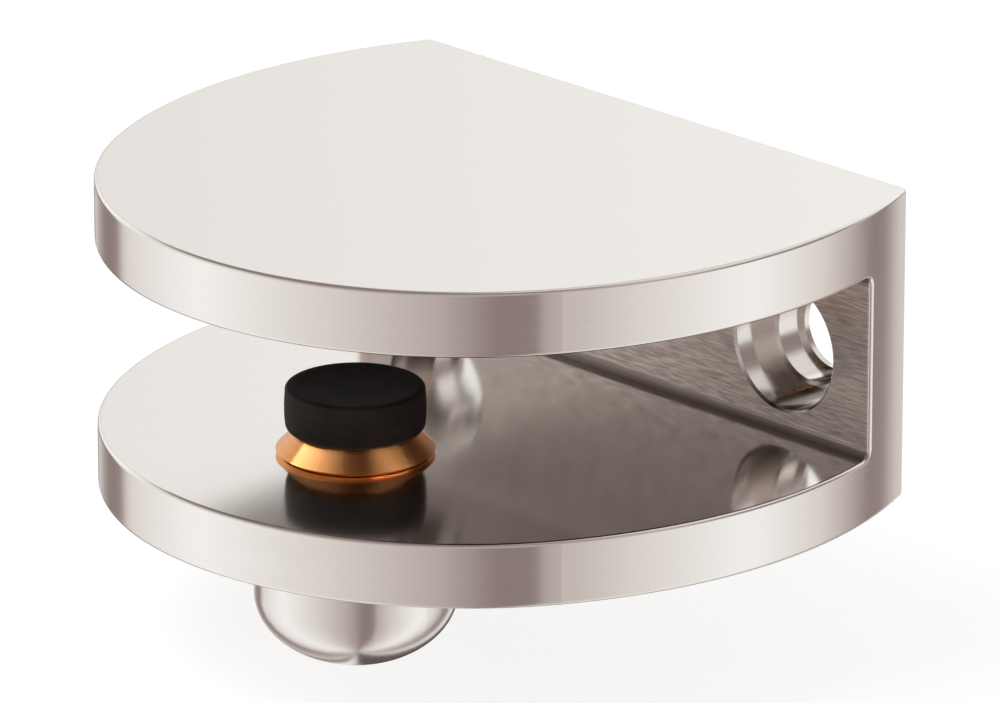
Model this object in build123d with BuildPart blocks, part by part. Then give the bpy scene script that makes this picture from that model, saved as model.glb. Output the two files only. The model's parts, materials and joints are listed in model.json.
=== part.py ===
"""Half-round clamp that holds the edge of a glass panel against a wall.

A cast bracket with two plates grips the glass. A screw with a dome knob comes up through the
lower plate and lifts a brass foot with a rubber pad against the underside of the glass.

Frame: the origin is midway between the two wall screw holes, on the wall face. +Y points into
the wall, +Z up, and X runs along the wall. Millimetres. The clamp is modelled fully open.
"""
import os

from build123d import *

# Plan of the casting: a round nose and two side arcs that run back to the wall
wall_chord = 51.0
nose_radius = 27.9
nose_setback = 20.5
nose_half_angle = 60.0

# Section of the casting
lower_plate = 5.0
upper_plate = 5.0
jaw_gap = 14.3
wall_thickness = 6.0
jaw_corner_radius = 0.8
edge_round = 0.3

# Wall screw holes, sunk for the screw heads, a little below the middle of the jaw
# Each has a recess for the head, a bore, and a thin lip with the screw hole at the wall face
hole_spacing = 37.5
hole_drop = 0.55
screw_hole_diameter = 6.2
hole_lip = 0.5
screw_bore_diameter = 7.0
head_recess_diameter = 10.0
head_recess_depth = 2.9
recess_chamfer = 0.2
bore_chamfer = 0.25

# Clamp screw: a threaded stud whose spigot is riveted over inside the foot
screw_setback = 32.2
thread_diameter = 6.0
thread_clearance = 0.05
thread_lead_in = 0.4
spigot_diameter = 3.6
spigot_clearance = 0.05
rivet_overhang = 0.5
rivet_height = 0.6

# Brass pressure foot: a low cone with a hollow boss around the rivet
foot_base_diameter = 11.9
foot_rim_height = 0.3
foot_undercut = 0.35
foot_cone_height = 1.5
foot_floor = 1.3
foot_ledge = 1.1
rivet_clearance = 0.2
boss_wall = 0.9
boss_height = 1.5

# Rubber pad, pushed over the boss of the foot
pad_diameter = 10.6
pad_height = 3.4
pad_round = 0.35
pad_clearance = 0.03

# Dome knob
knob_diameter = 15.3
knob_rim_height = 2.6
knob_dome_height = 5.3
knob_round = 0.6
knob_drop = 3.4
stud_socket_depth = 4.5
stud_clearance = 0.02

# Axial play between pieces that seat or turn on each other
seat_clearance = 0.05

# Radii that follow from the sizes above
thread_radius = thread_diameter / 2
thread_hole_radius = thread_radius + thread_clearance
spigot_radius = spigot_diameter / 2
rivet_radius = spigot_radius + rivet_overhang
rivet_room_radius = rivet_radius + rivet_clearance
boss_radius = rivet_room_radius + boss_wall
foot_top_radius = boss_radius + foot_ledge

# Levels, measured from the wall screw holes
underside_z = hole_drop - jaw_gap / 2 - lower_plate
lower_top_z = underside_z + lower_plate
body_height = lower_plate + jaw_gap + upper_plate
knob_top_z = underside_z - knob_drop
stud_end_z = knob_top_z - stud_socket_depth + seat_clearance
foot_base_z = lower_top_z + seat_clearance
foot_top_z = foot_base_z + foot_rim_height + foot_cone_height
boss_top_z = foot_top_z + boss_height
rivet_seat_z = foot_base_z + foot_floor
rivet_under_z = rivet_seat_z + seat_clearance

body_depth = nose_setback + nose_radius
screw_axis = Axis((0, -screw_setback, 0), (0, 0, 1))
# Half section of a turned piece: the first coordinate is the radius, the second the height
turning_plane = Plane(origin=(0, -screw_setback, 0), x_dir=(1, 0, 0), z_dir=(0, -1, 0))

os.makedirs("parts", exist_ok=True)

# Cast bracket
with BuildPart() as bracket_body:
    with BuildSketch(Plane.XY.offset(underside_z)):
        with BuildLine():
            nose = CenterArc((0, -nose_setback), nose_radius, 270 - nose_half_angle, 2 * nose_half_angle)
            side = TangentArc(nose @ 1, (wall_chord / 2, 0), tangent=nose % 1)
            mirror(side, about=Plane.YZ)
            Line((-wall_chord / 2, 0), (wall_chord / 2, 0))
        make_face()
    extrude(amount=body_height)

    # The jaw is open at the front and at both sides
    with BuildSketch(Plane.YZ) as jaw:
        with Locations((-wall_thickness, lower_top_z)):
            Rectangle(body_depth, jaw_gap, align=(Align.MAX, Align.MIN))
        fillet(jaw.vertices().group_by(Axis.X)[-1], jaw_corner_radius)
    extrude(amount=body_depth, both=True, mode=Mode.SUBTRACT)

    # Every sharp edge is eased; the smooth joins between tangent faces are not edges to ease
    lengthwise_edges = bracket_body.edges().filter_by(Axis.X)
    jaw_corner_lines = lengthwise_edges.filter_by(lambda edge: edge.center().Y < -wall_thickness / 2)
    nose_joins = bracket_body.edges().filter_by(Axis.Z).group_by(Axis.Y)[0]
    fillet(bracket_body.edges() - jaw_corner_lines - nose_joins, edge_round)

    # Sunk holes for the wall screws, entered from the jaw, with the rims of recess and bore broken
    screw_hole_radius = screw_hole_diameter / 2
    bore_radius = screw_bore_diameter / 2
    recess_radius = head_recess_diameter / 2
    bore_end = wall_thickness - hole_lip
    with Locations(Plane.XZ.offset(wall_thickness)):
        with GridLocations(hole_spacing, hole_spacing, 2, 1):
            CounterBoreHole(screw_hole_radius, bore_radius, bore_end, depth=wall_thickness)
            CounterBoreHole(screw_hole_radius, recess_radius, head_recess_depth, depth=wall_thickness)
            CounterSinkHole(screw_hole_radius, recess_radius + recess_chamfer, wall_thickness, 90)
    with Locations(Plane.XZ.offset(wall_thickness - head_recess_depth)):
        with GridLocations(hole_spacing, hole_spacing, 2, 1):
            CounterSinkHole(screw_hole_radius, bore_radius + bore_chamfer, wall_thickness, 90)

    # Threaded hole through the lower plate, with a lead-in at each end
    floor_mouth = Plane((0, -screw_setback, lower_top_z))
    under_mouth = Plane((0, -screw_setback, underside_z), z_dir=(0, 0, -1))
    with Locations(floor_mouth, under_mouth):
        CounterSinkHole(thread_hole_radius, thread_hole_radius + thread_lead_in, lower_plate, 90)

# Threaded stud
with BuildPart() as clamp_screw:
    with BuildSketch(turning_plane):
        with BuildLine():
            Polyline(
                (0, stud_end_z),
                (thread_radius - thread_lead_in, stud_end_z),
                (thread_radius, stud_end_z + thread_lead_in),
                (thread_radius, lower_top_z - thread_lead_in),
                (thread_radius - thread_lead_in, lower_top_z),
                (spigot_radius, lower_top_z),
                (spigot_radius, rivet_under_z),
                (rivet_radius, rivet_under_z),
                (spigot_radius, rivet_under_z + rivet_height),
                (0, rivet_under_z + rivet_height),
                close=True,
            )
        make_face()
    revolve(axis=screw_axis)

# Turned knob with a plain dome and a blind socket for the stud
with BuildPart() as dome_knob:
    knob_radius = knob_diameter / 2
    socket_radius = thread_radius + stud_clearance
    dome_centre = (0, knob_top_z - knob_rim_height)
    with BuildSketch(turning_plane):
        with BuildLine():
            dome = EllipticalCenterArc(dome_centre, knob_radius, knob_dome_height, 270, arc_size=90)
            Polyline(
                dome @ 1,
                (knob_radius, knob_top_z),
                (socket_radius, knob_top_z),
                (socket_radius, knob_top_z - stud_socket_depth),
                (0, knob_top_z - stud_socket_depth),
                dome @ 0,
            )
        make_face()
    revolve(axis=screw_axis)
    knob_top = dome_knob.faces().filter_by(Plane.XY).sort_by(Axis.Z)[-1]
    fillet(knob_top.outer_wire().edges(), knob_round)

# Brass foot
with BuildPart() as pressure_foot:
    spigot_hole_radius = spigot_radius + spigot_clearance
    with BuildSketch(turning_plane):
        with BuildLine():
            Polyline(
                (spigot_hole_radius, foot_base_z),
                (foot_base_diameter / 2 - foot_undercut, foot_base_z),
                (foot_base_diameter / 2, foot_base_z + foot_rim_height),
                (foot_top_radius, foot_top_z),
                (boss_radius, foot_top_z),
                (boss_radius, boss_top_z),
                (rivet_room_radius, boss_top_z),
                (rivet_room_radius, rivet_seat_z),
                (spigot_hole_radius, rivet_seat_z),
                close=True,
            )
        make_face()
    revolve(axis=screw_axis)

# Rubber pad with a blind socket for the boss
with BuildPart() as rubber_pad:
    boss_socket_radius = boss_radius + pad_clearance
    with BuildSketch(turning_plane):
        with BuildLine():
            Polyline(
                (boss_socket_radius, foot_top_z),
                (pad_diameter / 2, foot_top_z),
                (pad_diameter / 2, foot_top_z + pad_height),
                (0, foot_top_z + pad_height),
                (0, boss_top_z + seat_clearance),
                (boss_socket_radius, boss_top_z + seat_clearance),
                close=True,
            )
        make_face()
    revolve(axis=screw_axis)
    pad_faces = rubber_pad.faces().filter_by(Plane.XY).sort_by(Axis.Z)
    fillet(pad_faces[0].outer_wire().edges() + pad_faces[-1].outer_wire().edges(), pad_round)

bracket_body.part.label = "bracket_body"
export_step(bracket_body.part, "parts/bracket_body.step")
clamp_screw.part.label = "clamp_screw"
export_step(clamp_screw.part, "parts/clamp_screw.step")
dome_knob.part.label = "dome_knob"
export_step(dome_knob.part, "parts/dome_knob.step")
pressure_foot.part.label = "pressure_foot"
export_step(pressure_foot.part, "parts/pressure_foot.step")
rubber_pad.part.label = "rubber_pad"
export_step(rubber_pad.part, "parts/rubber_pad.step")
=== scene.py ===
"""Satin nickel clamp for the edge of a glass panel, dressed for its picture.

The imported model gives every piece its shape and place, in metres: +Y into the wall, +Z up.
This script adds the finishes, the screw's thread, the moulded pad, the studio and the camera.
"""
import json
import math

import bmesh
import bpy
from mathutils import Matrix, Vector


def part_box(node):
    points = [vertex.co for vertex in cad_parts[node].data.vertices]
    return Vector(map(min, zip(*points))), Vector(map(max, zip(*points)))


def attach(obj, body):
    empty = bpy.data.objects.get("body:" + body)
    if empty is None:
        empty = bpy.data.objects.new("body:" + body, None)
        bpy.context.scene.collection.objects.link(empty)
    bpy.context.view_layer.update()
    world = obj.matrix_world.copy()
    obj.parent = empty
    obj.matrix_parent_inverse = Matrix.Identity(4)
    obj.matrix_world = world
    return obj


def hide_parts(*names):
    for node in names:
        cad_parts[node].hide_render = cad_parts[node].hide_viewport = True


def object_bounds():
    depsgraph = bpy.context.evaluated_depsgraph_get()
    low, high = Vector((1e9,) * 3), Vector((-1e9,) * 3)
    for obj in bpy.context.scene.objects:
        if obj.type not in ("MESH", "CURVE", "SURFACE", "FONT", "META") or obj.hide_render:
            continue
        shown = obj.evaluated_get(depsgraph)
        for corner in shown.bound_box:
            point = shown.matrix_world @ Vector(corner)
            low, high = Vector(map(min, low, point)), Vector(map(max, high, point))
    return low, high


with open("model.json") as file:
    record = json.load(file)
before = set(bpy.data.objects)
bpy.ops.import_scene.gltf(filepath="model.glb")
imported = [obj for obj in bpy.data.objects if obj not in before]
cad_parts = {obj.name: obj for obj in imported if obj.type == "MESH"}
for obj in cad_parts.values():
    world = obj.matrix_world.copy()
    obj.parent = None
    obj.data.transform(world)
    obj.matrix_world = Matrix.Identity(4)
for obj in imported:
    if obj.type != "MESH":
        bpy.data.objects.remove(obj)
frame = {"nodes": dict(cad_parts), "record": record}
cad_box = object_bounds()
MM = 0.001

# Places on the clamp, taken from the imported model
record = frame["record"]
nodes = frame["nodes"]
mounts = {mount["name"]: mount for mount in record["mounts"]}
openings = {opening["name"]: opening["box_m"] for opening in record["physics"]["openings"]}
foot_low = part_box("pressure_foot")[0]
pad_low, pad_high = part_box("rubber_pad")
screw_low, screw_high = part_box("clamp_screw")
# The foot stands this far off the jaw's floor, and the glass slot stops this far short of the wall
foot_clearance = 0.05 * MM
slot_clearance = 0.5 * MM
jaw_floor_z = foot_low.z - foot_clearance
jaw_roof_z = mounts["upper_jaw"]["pos_m"][2]
jaw_middle_z = (jaw_floor_z + jaw_roof_z) / 2
wall_y = openings["glass_slot"][1][1] + slot_clearance
screw_y = (screw_low.y + screw_high.y) / 2
# The round nose of the plates is struck about this point
nose_centre = (0.0, -20.5 * MM, 0.0)


def linear(hex_code):
    """Turns an sRGB hex colour into the linear colour that shader sockets take."""
    channels = [int(hex_code[start:start + 2], 16) / 255 for start in (1, 3, 5)]
    return [c / 12.92 if c <= 0.04045 else ((c + 0.055) / 1.055) ** 2.4 for c in channels] + [1.0]


def add(tree, kind, inputs=None, stops=None, **settings):
    """Adds one node.

    Inputs go by socket name or number, and each holds a value, a node or an output socket.
    """
    node = tree.nodes.new(kind)
    for name, value in settings.items():
        setattr(node, name, value)
    for place, (position, colour) in enumerate(stops or []):
        elements = node.color_ramp.elements
        element = elements[place] if place < 2 else elements.new(position)
        element.position = position
        element.color = colour
    for name, value in (inputs or {}).items():
        named = [socket for socket in node.inputs if socket.name == name and socket.enabled]
        socket = named[0] if named else node.inputs[name]
        if isinstance(value, bpy.types.Node):
            value = next(output for output in value.outputs if output.enabled)
        if isinstance(value, bpy.types.NodeSocket):
            tree.links.new(value, socket)
        else:
            socket.default_value = value
    return node


def new_finish(name):
    """An empty material, ready for its nodes."""
    finish = bpy.data.materials.new(name)
    finish.use_nodes = True
    tree = finish.node_tree
    tree.nodes.clear()
    return finish, tree


def dress(piece, finish):
    piece.data.materials.clear()
    piece.data.materials.append(finish)


# Finishes

# Depth of the marks that brushing and turning leave in metal, and how strongly they show
mark_depth = 0.004 * MM
mark_relief = 0.2


def jaw_regions(tree, place):
    """Masks for the faces of the casting that have a finish of their own, or a painted shade.

    They are the level faces, the jaw's floor, its roof, the roof away from its rim, the jaw's wall,
    and the hollow corners between the wall and the plates.
    """
    # Least parts of a face's normal along an axis: to be brushed as level, to face straight along it,
    # and to belong to a rounded corner
    half_level = 0.7
    square_on = 0.9
    least_tilt = 0.08
    # From the nose's centre: where the roof's painted shade starts, and where it is darkest
    rim_reach = 28 * MM
    deep_reach = 23 * MM
    # From the wall's face: forward over the corners, back into the recesses, and clear of the face itself
    corner_depth = 1 * MM
    recess_margin = 0.5 * MM
    wall_skin = 0.01 * MM

    facing = add(tree, "ShaderNodeSeparateXYZ", {"Vector": place.outputs["Normal"]})
    position = add(tree, "ShaderNodeSeparateXYZ", {"Vector": place.outputs["Object"]})
    up, front = facing.outputs["Z"], facing.outputs["Y"]
    y, z = position.outputs["Y"], position.outputs["Z"]
    flatness = add(tree, "ShaderNodeMath", {0: up}, operation="ABSOLUTE")
    level = add(tree, "ShaderNodeMath", {0: flatness, 1: half_level}, operation="GREATER_THAN")

    upward = add(tree, "ShaderNodeMath", {0: up, 1: square_on}, operation="GREATER_THAN")
    low = add(tree, "ShaderNodeMath", {0: z, 1: jaw_middle_z}, operation="LESS_THAN")
    floor = add(tree, "ShaderNodeMath", {0: upward, 1: low}, operation="MULTIPLY")
    downward = add(tree, "ShaderNodeMath", {0: up, 1: -square_on}, operation="LESS_THAN")
    high = add(tree, "ShaderNodeMath", {0: 1.0, 1: low}, operation="SUBTRACT")
    roof = add(tree, "ShaderNodeMath", {0: downward, 1: high}, operation="MULTIPLY")

    # The roof away from its rim
    flat = add(
        tree, "ShaderNodeVectorMath", {0: place.outputs["Object"], 1: (1.0, 1.0, 0.0)}, operation="MULTIPLY"
    )
    reach = add(tree, "ShaderNodeVectorMath", {0: flat, 1: nose_centre}, operation="DISTANCE")
    inward = add(
        tree,
        "ShaderNodeMapRange",
        {
            "Value": reach.outputs["Value"],
            "From Min": rim_reach,
            "From Max": deep_reach,
            "To Min": 0.0,
            "To Max": 1.0,
        },
    )
    deep_roof = add(
        tree, "ShaderNodeMath", {0: roof, 1: inward.outputs["Result"]}, operation="MULTIPLY"
    )

    # The wall's inner face, without the recesses sunk in it
    forward = add(tree, "ShaderNodeMath", {0: front, 1: -square_on}, operation="LESS_THAN")
    near_wall = add(tree, "ShaderNodeMath", {0: y, 1: wall_y - corner_depth}, operation="GREATER_THAN")
    outside = add(tree, "ShaderNodeMath", {0: y, 1: wall_y + recess_margin}, operation="LESS_THAN")
    within = add(tree, "ShaderNodeMath", {0: near_wall, 1: outside}, operation="MULTIPLY")
    wall = add(tree, "ShaderNodeMath", {0: forward, 1: within}, operation="MULTIPLY")

    # The hollow corners, just ahead of the wall
    tilted = add(tree, "ShaderNodeMath", {0: flatness, 1: least_tilt}, operation="GREATER_THAN")
    hollow = add(tree, "ShaderNodeMath", {0: front, 1: -least_tilt}, operation="LESS_THAN")
    bend = add(tree, "ShaderNodeMath", {0: tilted, 1: hollow}, operation="MULTIPLY")
    before = add(tree, "ShaderNodeMath", {0: y, 1: wall_y - wall_skin}, operation="LESS_THAN")
    ahead = add(tree, "ShaderNodeMath", {0: before, 1: near_wall}, operation="MULTIPLY")
    corner = add(tree, "ShaderNodeMath", {0: bend, 1: ahead}, operation="MULTIPLY")
    return level, floor, roof, deep_roof, wall, corner


def satin_nickel_plate():
    """Nickel plated zinc casting: brushed outside, polished on the jaw's floor and roof, dull on its wall.

    The brushing spreads reflections up and down the rims, so they stand as upright streaks. The floor
    mirrors the pad. The wall keeps the short marks of the belt that dressed the casting, on a darker tone
    of painted shade. The roof away from its rim is darker still, as painted shade, and no belt reaches the
    inside corners, so they stay dull and take a darker tone of painted shade.
    """
    # Real brushing lines are about 0.04 mm wide and belt marks about 0.08 mm, too fine to show in the
    # picture, so both are drawn wider
    line_width = 0.12 * MM
    line_length = 25 * MM
    belt_width = 0.16 * MM
    belt_length = 1.6 * MM
    brushed_fine, brushed_coarse = 0.16, 0.2
    polished = 0.1
    belt_dressed = 0.28
    as_cast = 0.5
    nickel = ("#F2EFEB", "#F6F3EF")
    # Painted shade: the roof away from its rim is darker than the plate
    roof_painted_shade = ("#8E8682", "#97908C")
    # Painted shade on the wall, under its real belt marks: darker than the plate
    wall_painted_shade = ("#A29793", "#DACFCB")
    # Painted shade in the hollow corners between the wall and the plates
    corner_painted_shade = ("#B0A5A0", "#C0B5B0")

    finish, tree = new_finish("satin_nickel_plate")
    place = add(tree, "ShaderNodeTexCoord")
    level, floor, roof, deep_roof, wall, corner = jaw_regions(tree, place)

    # Lines run round the rims and along the level faces, and belt marks run along the wall
    rim_scale = (1 / line_length, 1 / line_length, 1 / line_width)
    plate_scale = (1 / line_length, 1 / line_width, 1 / line_length)
    wall_scale = (1 / belt_length, 1 / belt_length, 1 / belt_width)
    across_rim, across_plate, across_wall = [
        add(tree, "ShaderNodeMapping", {"Vector": place.outputs["Object"], "Scale": scale})
        for scale in (rim_scale, plate_scale, wall_scale)
    ]
    brushing_place = add(
        tree, "ShaderNodeMix", {"Factor": level, "A": across_rim, "B": across_plate}, data_type="VECTOR"
    )
    brushing = add(tree, "ShaderNodeTexNoise", {"Vector": brushing_place, "Scale": 1.0, "Detail": 3.0})
    belt = add(tree, "ShaderNodeTexNoise", {"Vector": across_wall, "Scale": 1.0, "Detail": 4.0})
    marks = add(tree, "ShaderNodeMix", {"Factor": wall, "A": brushing, "B": belt}, data_type="FLOAT")
    contrast = add(
        tree,
        "ShaderNodeMapRange",
        {"Value": marks, "From Min": 0.3, "From Max": 0.7, "To Min": 0.0, "To Max": 1.0},
    ).outputs["Result"]

    roughness = add(
        tree,
        "ShaderNodeMix",
        {"Factor": contrast, "A": brushed_fine, "B": brushed_coarse},
        data_type="FLOAT",
    )
    for region, grade in ((floor, polished), (roof, polished), (wall, belt_dressed), (corner, as_cast)):
        roughness = add(
            tree, "ShaderNodeMix", {"Factor": region, "A": roughness, "B": grade}, data_type="FLOAT"
        )

    tones = [
        add(
            tree,
            "ShaderNodeMix",
            {"Factor": contrast, "A": linear(dark), "B": linear(light)},
            data_type="RGBA",
        )
        for dark, light in (nickel, roof_painted_shade, wall_painted_shade, corner_painted_shade)
    ]
    colour = tones[0]
    # The roof away from its rim, the wall and the hollow corners take their tones of painted shade
    for region, tone in zip((deep_roof, wall, corner), tones[1:]):
        colour = add(tree, "ShaderNodeMix", {"Factor": region, "A": colour, "B": tone}, data_type="RGBA")

    # Reflections spread across the lines, except on the wall: there they spread sideways, so that the wall
    # takes in the open front of the jaw more than its floor and roof
    spread = add(
        tree,
        "ShaderNodeMix",
        {"Factor": level, "A": (0.0, 0.0, 1.0), "B": (0.0, 1.0, 0.0)},
        data_type="VECTOR",
    )
    spread = add(
        tree, "ShaderNodeMix", {"Factor": wall, "A": spread, "B": (1.0, 0.0, 0.0)}, data_type="VECTOR"
    )
    relief = add(tree, "ShaderNodeMix", {"Factor": floor, "A": mark_relief, "B": 0.0}, data_type="FLOAT")
    bump = add(tree, "ShaderNodeBump", {"Height": marks, "Strength": relief, "Distance": mark_depth})
    shader = add(
        tree,
        "ShaderNodeBsdfPrincipled",
        {
            "Base Color": colour,
            "Metallic": 1.0,
            "Roughness": roughness,
            "Anisotropic": 0.8,
            "Tangent": spread,
            "Normal": bump,
        },
    )
    add(tree, "ShaderNodeOutputMaterial", {"Surface": shader})
    return finish


def turning_marks(tree, spacing):
    """Fine rings round the screw's axis, as a lathe leaves them."""
    place = add(tree, "ShaderNodeTexCoord")
    from_axis = add(
        tree,
        "ShaderNodeVectorMath",
        {0: place.outputs["Object"], 1: (0.0, screw_y, 0.0)},
        operation="SUBTRACT",
    )
    split = add(tree, "ShaderNodeSeparateXYZ", {"Vector": from_axis})
    flat = add(tree, "ShaderNodeVectorMath", {0: from_axis, 1: (1.0, 1.0, 0.0)}, operation="MULTIPLY")
    radius = add(tree, "ShaderNodeVectorMath", {0: flat}, operation="LENGTH")
    section = add(
        tree, "ShaderNodeCombineXYZ", {"X": radius.outputs["Value"], "Y": split.outputs["Z"], "Z": 0.0}
    )
    return add(tree, "ShaderNodeTexNoise", {"Vector": section, "Scale": 1 / spacing, "Detail": 2.0})


def turned_metal(name, dark, light, roughness, anisotropy):
    """Metal from the lathe. Its rings draw reflections out along the piece, from the axis to the rim."""
    # The tool's feed for each turn, which just shows in the picture
    feed = 0.12 * MM
    # A quarter turn from round the axis
    across_the_rings = 0.25
    finish, tree = new_finish(name)
    marks = turning_marks(tree, feed)
    colour = add(
        tree, "ShaderNodeMix", {"Factor": marks, "A": linear(dark), "B": linear(light)}, data_type="RGBA"
    )
    tangent = add(tree, "ShaderNodeTangent", direction_type="RADIAL", axis="Z")
    bump = add(tree, "ShaderNodeBump", {"Height": marks, "Strength": mark_relief, "Distance": mark_depth})
    shader = add(
        tree,
        "ShaderNodeBsdfPrincipled",
        {
            "Base Color": colour,
            "Metallic": 1.0,
            "Roughness": roughness,
            "Anisotropic": anisotropy,
            "Anisotropic Rotation": across_the_rings,
            "Tangent": tangent,
            "Normal": bump,
        },
    )
    add(tree, "ShaderNodeOutputMaterial", {"Surface": shader})
    return finish


def moulded_rubber():
    """Black rubber straight from the mould: matt, finely pitted, a little dusty."""
    # The real pits are about 0.05 mm across, too fine to show in the picture, so they are drawn larger
    grain_size = 0.25 * MM
    grain_depth = 0.03 * MM
    grain_relief = 0.4
    dust_size = 3 * MM
    finish, tree = new_finish("moulded_black_rubber")
    place = add(tree, "ShaderNodeTexCoord")
    grain, dust = [
        add(
            tree,
            "ShaderNodeTexNoise",
            {"Vector": place.outputs["Object"], "Scale": 1 / size, "Detail": 3.0},
        )
        for size in (grain_size, dust_size)
    ]
    dusting = add(
        tree,
        "ShaderNodeMapRange",
        {"Value": dust, "From Min": 0.35, "From Max": 0.65, "To Min": 0.0, "To Max": 1.0},
    ).outputs["Result"]
    colour = add(
        tree,
        "ShaderNodeMix",
        {"Factor": dusting, "A": linear("#090706"), "B": linear("#261B17")},
        data_type="RGBA",
    )
    bump = add(tree, "ShaderNodeBump", {"Height": grain, "Strength": grain_relief, "Distance": grain_depth})
    shader = add(
        tree,
        "ShaderNodeBsdfPrincipled",
        {"Base Color": colour, "Roughness": 0.7, "IOR": 1.5, "Specular IOR Level": 0.45, "Normal": bump},
    )
    add(tree, "ShaderNodeOutputMaterial", {"Surface": shader})
    return finish


# Turned pieces


def turned_skin(name, rows, low_end=0.0, high_end=0.0, end_radius=0.0):
    """A closed skin about the screw's axis, from rows of (radius, height, climb in one turn).

    A climbing row follows a thread. It stops at the two ends of the thread, which taper to end_radius.
    """
    segments = 96
    weld = 0.0005 * MM
    sharp_angle = math.radians(25)
    points = []
    for radius, height, climb in rows:
        for step in range(segments + 1):
            angle = 2 * math.pi * (step % segments) / segments
            reach, level = radius, height
            if climb:
                level = min(max(height + climb * step / segments, low_end), high_end)
                from_end = min(level - low_end, high_end - level)
                reach = min(radius, end_radius + from_end) if from_end > 0 else end_radius
            points.append((reach * math.cos(angle), screw_y + reach * math.sin(angle), level))
    columns = segments + 1
    faces = []
    for row in range(len(rows) - 1):
        for step in range(segments):
            corner = row * columns + step
            faces.append((corner, corner + 1, corner + columns + 1, corner + columns))
    mesh = bpy.data.meshes.new(name)
    mesh.from_pydata(points, [], faces)
    skin = bmesh.new()
    skin.from_mesh(mesh)
    bmesh.ops.remove_doubles(skin, verts=skin.verts, dist=weld)
    bmesh.ops.dissolve_degenerate(skin, edges=skin.edges, dist=weld)
    bmesh.ops.recalc_face_normals(skin, faces=skin.faces)
    skin.to_mesh(mesh)
    skin.free()
    mesh.shade_smooth()
    mesh.set_sharp_from_angle(angle=sharp_angle)
    piece = bpy.data.objects.new(name, mesh)
    bpy.context.scene.collection.objects.link(piece)
    return piece


def threaded_screw():
    """The stud with its real thread: 60 degree flanks, crests of an eighth pitch, roots of a quarter."""
    pitch = 1.0 * MM
    thread_depth = 0.541 * pitch
    lead_in = 0.4 * MM
    spigot_radius = 1.8 * MM
    rivet_radius = 2.3 * MM
    rivet_height = 0.6 * MM
    crest_radius = (screw_high.x - screw_low.x) / 2
    root_radius = crest_radius - thread_depth
    end_radius = crest_radius - lead_in
    rivet_z = screw_high.z - rivet_height
    # One turn of the thread: the corners' heights as shares of the pitch, with their radii
    corners = [(0.0, crest_radius), (0.125, crest_radius), (0.4375, root_radius), (0.6875, root_radius)]

    rows = [(0.0, screw_low.z, 0.0), (end_radius, screw_low.z, 0.0)]
    turns = math.ceil((jaw_floor_z - screw_low.z) / pitch) + 1
    for turn in range(-1, turns):
        for share, radius in corners:
            rows.append((radius, screw_low.z + (turn + share) * pitch, pitch))
    rows.append((end_radius, jaw_floor_z, 0.0))
    rows.append((spigot_radius, jaw_floor_z, 0.0))
    rows.append((spigot_radius, rivet_z, 0.0))
    rows.append((rivet_radius, rivet_z, 0.0))
    rows.append((spigot_radius, screw_high.z, 0.0))
    rows.append((0.0, screw_high.z, 0.0))
    return turned_skin("threaded_screw", rows, screw_low.z, jaw_floor_z, end_radius)


def moulded_pad():
    """The rubber pad from its mould: slightly barrelled, with soft edges, a fine rim and a parting line."""
    edge = 0.3 * MM
    lower_edge = 0.55 * MM
    barrel = 0.06 * MM
    dish = 0.06 * MM
    dish_rim = 0.7 * MM
    flat_rim = 0.42 * MM
    parting = 0.03 * MM
    socket_radius = 3.43 * MM
    socket_depth = 1.55 * MM
    edge_steps = 6
    side_steps = 9
    radius = (pad_high.x - pad_low.x) / 2
    side_radius = radius - barrel
    middle_z = (pad_low.z + pad_high.z) / 2
    half_height = (pad_high.z - pad_low.z) / 2
    quarter = [math.radians(90 * step / edge_steps) for step in range(edge_steps + 1)]

    # The section, from the middle of the top round to the socket underneath
    section = [(0.0, pad_high.z - dish), (radius - edge - dish_rim, pad_high.z - dish)]
    section.append((radius - edge - flat_rim, pad_high.z))
    for turn in quarter:
        across = side_radius - edge + edge * math.sin(turn)
        section.append((across, pad_high.z - edge + edge * math.cos(turn)))
    for step in range(1 - side_steps, side_steps):
        share = step / side_steps
        bulge = barrel * (1 - share * share)
        groove = parting if step == 0 else 0.0
        section.append((side_radius + bulge - groove, middle_z - share * (half_height - lower_edge)))
    for turn in quarter:
        across = side_radius - lower_edge + lower_edge * math.cos(turn)
        section.append((across, pad_low.z + lower_edge - lower_edge * math.sin(turn)))
    section.append((socket_radius, pad_low.z))
    section.append((socket_radius, pad_low.z + socket_depth))
    section.append((0.0, pad_low.z + socket_depth))
    rows = [(across, height, 0.0) for across, height in section]
    return turned_skin("moulded_pad", rows)


dress(nodes["bracket_body"], satin_nickel_plate())

# Satin nickel on a turned knob: pale and soft, with fans of light and shade that meet under the dome
knob_nickel = turned_metal(
    "satin_nickel_turned", dark="#F2EFEB", light="#F6F3EF", roughness=0.2, anisotropy=0.6
)
dress(nodes["dome_knob"], knob_nickel)

# Bare brass from the lathe: a warm orange glow, with streaks of light that run up the cone
brass = turned_metal("turned_brass", dark="#DE985A", light="#ECAA70", roughness=0.24, anisotropy=0.9)
dress(nodes["pressure_foot"], brass)

# Zinc plate on a cut steel thread: a cool grey, duller than the nickel
zinc = turned_metal("zinc_plate", dark="#9FA1A5", light="#B2B4B6", roughness=0.3, anisotropy=0.0)
screw = threaded_screw()
dress(screw, zinc)
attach(screw, "screw")
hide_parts("clamp_screw")

pad = moulded_pad()
dress(pad, moulded_rubber())
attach(pad, "foot")
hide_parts("rubber_pad")

# Studio

floor_z = cad_box[0].z
floor_size = 6.0


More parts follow.
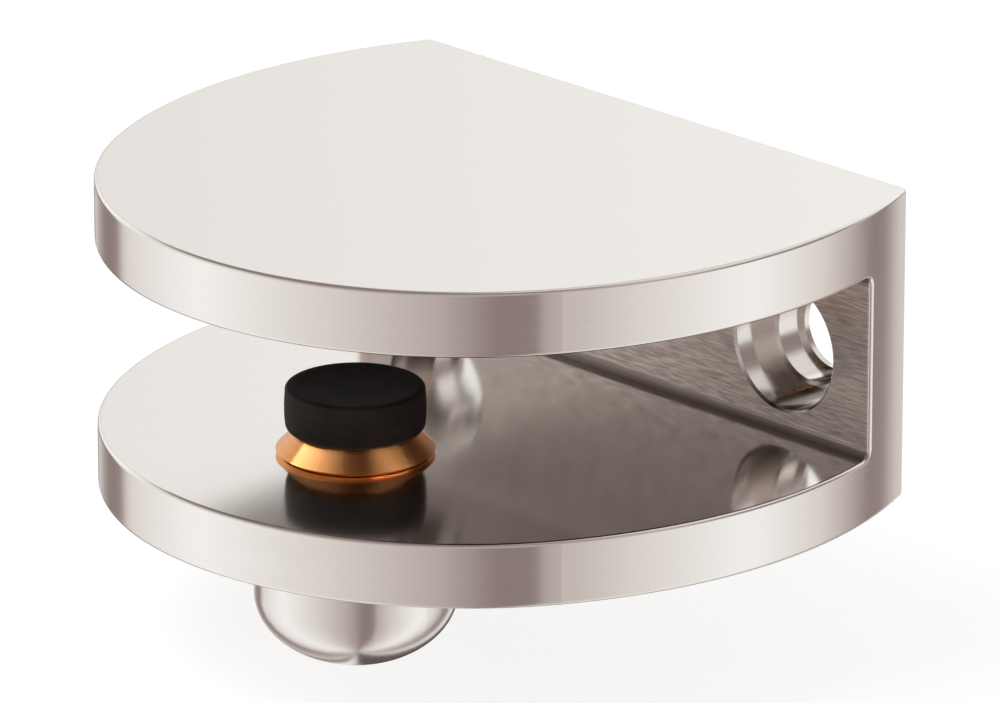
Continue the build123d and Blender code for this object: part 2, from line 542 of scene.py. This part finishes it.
def studio_paper():
    """White paper that runs out of sight. The eye sees it as plain white with a soft shadow.

    From below it is clear, so that the clamp can be seen from underneath.
    """
    glow_level = 1.2
    glow_share = 0.65
    finish, tree = new_finish("studio_paper")
    geometry = add(tree, "ShaderNodeNewGeometry")
    paper = add(tree, "ShaderNodeBsdfDiffuse", {"Color": linear("#FFFFFF")})
    glow = add(tree, "ShaderNodeEmission", {"Color": linear("#FFFFFF"), "Strength": glow_level})
    lit_paper = add(tree, "ShaderNodeMixShader", {"Fac": glow_share, 1: paper, 2: glow})
    path = add(tree, "ShaderNodeLightPath")
    seen = add(tree, "ShaderNodeMixShader", {"Fac": path.outputs["Is Camera Ray"], 1: paper, 2: lit_paper})
    clear = add(tree, "ShaderNodeBsdfTransparent")
    sided = add(tree, "ShaderNodeMixShader", {"Fac": geometry.outputs["Backfacing"], 1: seen, 2: clear})
    add(tree, "ShaderNodeOutputMaterial", {"Surface": sided})
    return finish


def studio_floor():
    half = floor_size / 2
    corners = [(x * half, y * half, floor_z) for x, y in ((-1, -1), (1, -1), (1, 1), (-1, 1))]
    mesh = bpy.data.meshes.new("studio_floor")
    mesh.from_pydata(corners, [], [(0, 1, 2, 3)])
    floor = bpy.data.objects.new("studio_floor", mesh)
    bpy.context.scene.collection.objects.link(floor)
    dress(floor, studio_paper())
    # The paper isn't mirrored, so that the metal shows the screens below its level
    floor.visible_glossy = False


# What the metal mirrors, by compass direction in degrees from +X: white screens and the dark gaps between
# them, in three rings from below to overhead
WHITE = "#FFFFFF"
PALE = "#E4DFDB"
GREY = "#BCB1AD"
DARK = "#8E7F7D"
DEEP = "#5A4E4C"
LOW_SCREENS = [
    (-180, GREY),
    (-175, PALE),
    (-135, WHITE),
    (-92, PALE),
    (-53, GREY),
    (-36, DARK),
    (-22.5, DARK),
    (-21.5, GREY),
    (4, PALE),
    (34, WHITE),
    (56, PALE),
    (69, GREY),
    (77, DARK),
    (84.5, DARK),
    (89, GREY),
    (97, PALE),
    (104, WHITE),
    (112, DEEP),
    (136.3, DEEP),
    (137.3, WHITE),
    (140, WHITE),
    (142, DEEP),
    (145, DEEP),
    (148, PALE),
    (156, GREY),
    (166, DARK),
]
HIGH_SCREENS = [
    (-180, WHITE),
    (-150, PALE),
    (-120, PALE),
    (-90, GREY),
    (8, GREY),
    (30, DARK),
    (62, DARK),
    (85, WHITE),
    (133, WHITE),
    (143.5, PALE),
    (165, WHITE),
]
OVERHEAD_SCREENS = [
    (-180, DARK),
    (0, DARK),
    (30, PALE),
    (110, PALE),
    (150, DARK),
]

# Where one ring gives way to the next, as the upward part of the direction
HIGH_FROM, HIGH_FULL = -0.05, 0.05
OVERHEAD_FROM, OVERHEAD_FULL = 0.5, 0.65

# How bright the screens, the backdrop and the soft light from all round are
SCREEN_LEVEL = 1.0
BACKDROP_LEVEL = 1.0
SOFT_LIGHT_LEVEL = 0.5


def studio_surround():
    world = bpy.data.worlds.new("studio")
    bpy.context.scene.world = world
    world.use_nodes = True
    tree = world.node_tree
    tree.nodes.clear()
    place = add(tree, "ShaderNodeTexCoord")
    way = add(tree, "ShaderNodeSeparateXYZ", {"Vector": place.outputs["Generated"]})
    compass = add(
        tree, "ShaderNodeMath", {0: way.outputs["Y"], 1: way.outputs["X"]}, operation="ARCTAN2"
    )
    turn = add(
        tree,
        "ShaderNodeMapRange",
        {"Value": compass, "From Min": -math.pi, "From Max": math.pi, "To Min": 0.0, "To Max": 1.0},
    ).outputs["Result"]
    low, high, top = [
        add(
            tree,
            "ShaderNodeValToRGB",
            {"Fac": turn},
            [((degrees + 180) / 360, linear(colour)) for degrees, colour in screens],
        )
        for screens in (LOW_SCREENS, HIGH_SCREENS, OVERHEAD_SCREENS)
    ]
    room = low
    for ring, start, full in ((high, HIGH_FROM, HIGH_FULL), (top, OVERHEAD_FROM, OVERHEAD_FULL)):
        rise = add(
            tree,
            "ShaderNodeMapRange",
            {"Value": way.outputs["Z"], "From Min": start, "From Max": full, "To Min": 0.0, "To Max": 1.0},
        ).outputs["Result"]
        room = add(tree, "ShaderNodeMix", {"Factor": rise, "A": room, "B": ring}, data_type="RGBA")
    path = add(tree, "ShaderNodeLightPath")
    mirrored = add(tree, "ShaderNodeBackground", {"Color": room, "Strength": SCREEN_LEVEL})
    backdrop = add(tree, "ShaderNodeBackground", {"Color": linear(WHITE), "Strength": BACKDROP_LEVEL})
    soft_light = add(tree, "ShaderNodeBackground", {"Color": linear(WHITE), "Strength": SOFT_LIGHT_LEVEL})
    to_metal = add(
        tree, "ShaderNodeMixShader", {"Fac": path.outputs["Is Glossy Ray"], 1: soft_light, 2: mirrored}
    )
    to_eye = add(
        tree, "ShaderNodeMixShader", {"Fac": path.outputs["Is Camera Ray"], 1: to_metal, 2: backdrop}
    )
    add(tree, "ShaderNodeOutputWorld", {"Surface": to_eye})


def around(azimuth, elevation):
    """The direction from the clamp to something at this azimuth and elevation."""
    turn, rise = math.radians(azimuth), math.radians(elevation)
    return Vector((math.sin(turn) * math.cos(rise), -math.cos(turn) * math.cos(rise), math.sin(rise)))


def soft_lamp(name, azimuth, elevation, distance, width, height, watts):
    lamp = bpy.data.lights.new(name, "AREA")
    lamp.shape = "RECTANGLE"
    lamp.size = width
    lamp.size_y = height
    lamp.energy = watts
    holder = bpy.data.objects.new(name, lamp)
    bpy.context.scene.collection.objects.link(holder)
    holder.location = around(azimuth, elevation) * distance
    holder.rotation_euler = around(azimuth, elevation).to_track_quat("Z", "Y").to_euler()
    return holder


# Camera, placed by the edges of the bracket in the photograph
camera_azimuth = 45.87
camera_elevation = 19.53
camera_distance = 685.1 * MM
camera_target = Vector((4.14, -21.25, -0.38)) * MM
camera_lens = 330.6
camera_sensor = 36


def picture_camera():
    data = bpy.data.cameras.new("picture_camera")
    data.lens = camera_lens
    data.sensor_width = camera_sensor
    data.sensor_fit = "HORIZONTAL"
    camera = bpy.data.objects.new("picture_camera", data)
    bpy.context.scene.collection.objects.link(camera)
    back = around(camera_azimuth, camera_elevation)
    camera.location = camera_target + back * camera_distance
    camera.rotation_euler = back.to_track_quat("Z", "Y").to_euler()
    bpy.context.scene.camera = camera


studio_floor()
studio_surround()
key_lamp = soft_lamp(
    "key_lamp", azimuth=-30, elevation=60, distance=0.8, width=0.5, height=0.5, watts=2.8
)
key_lamp.visible_glossy = False

# Two strips are flagged so that only the brass foot takes their light, which draws streaks on its cone
left_strip = soft_lamp(
    "left_strip", azimuth=-20, elevation=34, distance=0.7, width=1.1, height=0.15, watts=4.0
)
right_strip = soft_lamp(
    "right_strip", azimuth=114, elevation=26, distance=0.8, width=1.3, height=0.15, watts=12.0
)
lit_by_the_strips = bpy.data.collections.new("lit_by_the_strips")
lit_by_the_strips.objects.link(nodes["pressure_foot"])
for strip in (left_strip, right_strip):
    strip.light_linking.receiver_collection = lit_by_the_strips

picture_camera()
bpy.context.scene.view_settings.view_transform = "Standard"
